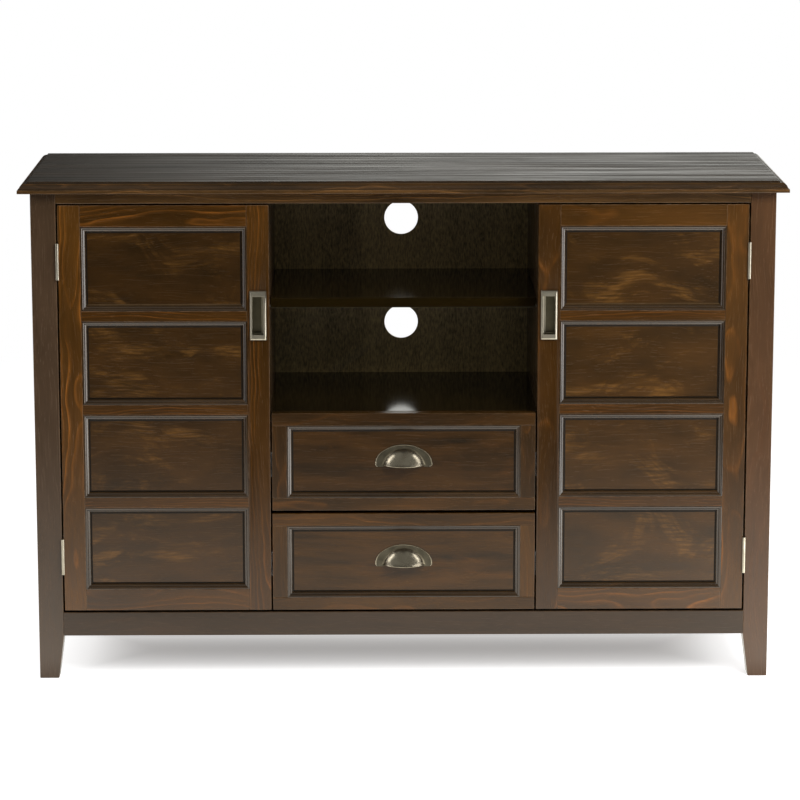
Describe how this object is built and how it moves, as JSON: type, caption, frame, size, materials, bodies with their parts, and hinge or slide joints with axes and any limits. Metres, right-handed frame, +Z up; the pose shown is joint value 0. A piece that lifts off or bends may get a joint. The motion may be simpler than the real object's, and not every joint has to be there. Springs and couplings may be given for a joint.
{
  "type": "tv stand",
  "caption": "Dark-stained wooden media cabinet with panelled side doors, an open shelved centre bay with cable holes, and drawers below it, on tapered square legs.",
  "frame": {"origin": "on the floor under the middle of the stand's outer box", "axes": "+X along the front to the viewer's right, +Y from the front to the back, +Z up"},
  "size_m": [1.372, 0.438, 0.914],
  "materials": {
    "stained_wood": "dark brown stain under satin lacquer, grain showing",
    "back_veneer": "dark stained veneer, open grain",
    "drawer_wood": "clear sealed pine",
    "satin_nickel": "satin nickel plate",
    "pewter": "brushed warm pewter",
    "zinc_steel": "bright zinc plate",
    "catch_plastic": "moulded brown plastic"
  },
  "bodies": {
    "carcass": {"back_panel": "back_veneer", "bay_floor": "stained_wood", "bay_shelf": "stained_wood", "cabinet_bottom": "stained_wood", "case_slide_channels": "zinc_steel", "door_catches": "catch_plastic", "frame_hinge_leaves": "satin_nickel", "front_left_leg": "stained_wood", "front_lower_rail": "stained_wood", "front_right_leg": "stained_wood", "front_top_rail": "stained_wood", "hinge_pins": "satin_nickel", "left_cupboard_shelf": "stained_wood", "left_partition": "stained_wood", "left_side_panel": "stained_wood", "rear_left_leg": "stained_wood", "rear_rail": "stained_wood", "rear_right_leg": "stained_wood", "right_cupboard_shelf": "stained_wood", "right_partition": "stained_wood", "right_side_panel": "stained_wood", "shelf_pins": "zinc_steel", "top_board": "stained_wood"},
    "left_door": {"left_door_end_rails": "stained_wood", "left_door_hinge_leaves": "satin_nickel", "left_door_hinge_stile": "stained_wood", "left_door_mid_rails": "stained_wood", "left_door_mouldings": "stained_wood", "left_door_panels": "stained_wood", "left_door_pull": "satin_nickel", "left_door_pull_stile": "stained_wood", "left_door_strike": "zinc_steel"},
    "right_door": {"right_door_end_rails": "stained_wood", "right_door_hinge_leaves": "satin_nickel", "right_door_hinge_stile": "stained_wood", "right_door_mid_rails": "stained_wood", "right_door_mouldings": "stained_wood", "right_door_panels": "stained_wood", "right_door_pull": "satin_nickel", "right_door_pull_stile": "stained_wood", "right_door_strike": "zinc_steel"},
    "upper_drawer": {"upper_drawer_box_bottom": "drawer_wood", "upper_drawer_box_ends": "drawer_wood", "upper_drawer_box_sides": "drawer_wood", "upper_drawer_front_panel": "stained_wood", "upper_drawer_front_rails": "stained_wood", "upper_drawer_front_stiles": "stained_wood", "upper_drawer_moulding": "stained_wood", "upper_drawer_pull": "pewter", "upper_drawer_slide_channels": "zinc_steel"},
    "lower_drawer": {"lower_drawer_box_bottom": "drawer_wood", "lower_drawer_box_ends": "drawer_wood", "lower_drawer_box_sides": "drawer_wood", "lower_drawer_front_panel": "stained_wood", "lower_drawer_front_rails": "stained_wood", "lower_drawer_front_stiles": "stained_wood", "lower_drawer_moulding": "stained_wood", "lower_drawer_pull": "pewter", "lower_drawer_slide_channels": "zinc_steel"}
  },
  "joints": [
    {"name": "left_door_hinge", "type": "hinge", "parent": "carcass", "child": "left_door", "pos_m": [-0.6185, -0.2013, 0.499], "axis": [0, 0, -1], "range_deg": [0, 165]},
    {"name": "right_door_hinge", "type": "hinge", "parent": "carcass", "child": "right_door", "pos_m": [0.6185, -0.2013, 0.499], "axis": [0, 0, 1], "range_deg": [0, 165]},
    {"name": "upper_drawer_slide", "type": "slide", "parent": "carcass", "child": "upper_drawer", "axis": [0, -1, 0], "range_m": [0, 0.26]},
    {"name": "lower_drawer_slide", "type": "slide", "parent": "carcass", "child": "lower_drawer", "axis": [0, -1, 0], "range_m": [0, 0.26]}
  ]
}
